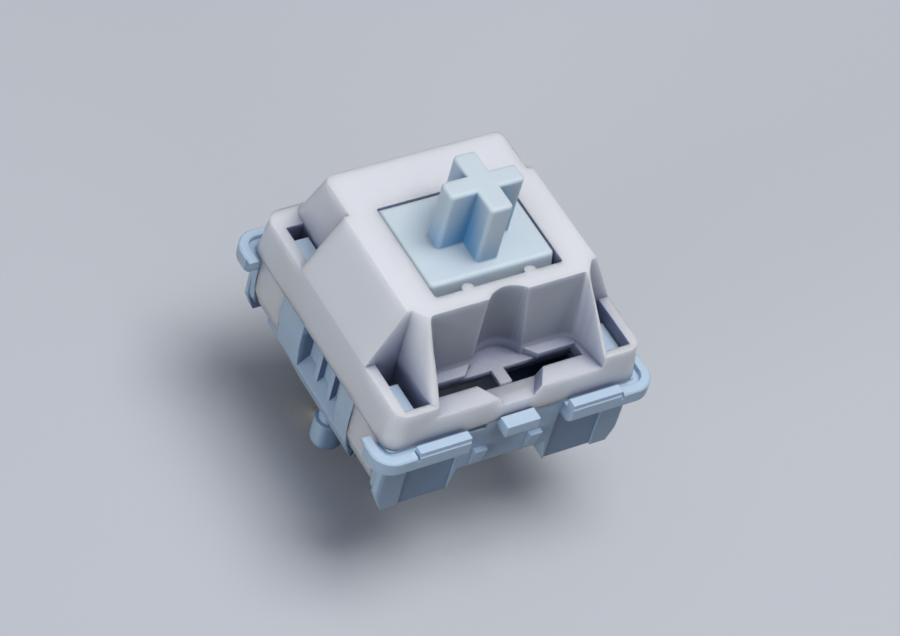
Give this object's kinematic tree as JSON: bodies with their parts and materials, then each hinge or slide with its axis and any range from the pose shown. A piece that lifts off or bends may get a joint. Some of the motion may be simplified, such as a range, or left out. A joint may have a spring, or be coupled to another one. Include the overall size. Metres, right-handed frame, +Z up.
{
  "type": "mechanical keyboard switch",
  "caption": "Plate and board mount keyboard switch with a cross stem, white top shell, pale blue tray, coil spring and two leaf contacts.",
  "frame": {"origin": "on the axis of the central locating post, at the underside of the tray that lies on the circuit board", "axes": "+Z up along the stem, -Y towards the lamp recess, +Y towards the terminals, +X to the right seen from the lamp side"},
  "size_m": [0.0156, 0.0156, 0.0185],
  "materials": {
    "white_plastic": "satin moulded",
    "blue_plastic": "satin moulded",
    "stem_plastic": "smooth moulded",
    "spring_steel": "drawn wire",
    "contact_brass": "stamped, plated",
    "leaf_bronze": "stamped spring sheet",
    "gold": "polished bar"
  },
  "bodies": {
    "housing": {"top_housing": "white_plastic", "bottom_housing": "blue_plastic", "return_spring": "spring_steel", "fixed_contact": "contact_brass", "moving_contact": "leaf_bronze", "fixed_contact_point": "gold", "moving_contact_point": "gold"},
    "plunger": {"stem": "stem_plastic"}
  },
  "joints": [
    {"name": "stem_travel", "type": "slide", "parent": "housing", "child": "plunger", "axis": [0, 0, -1], "range_m": [0, 0.004], "stiffness_N_per_m": 75, "springref_m": -0.0053, "deforming": ["return_spring"]}
  ]
}
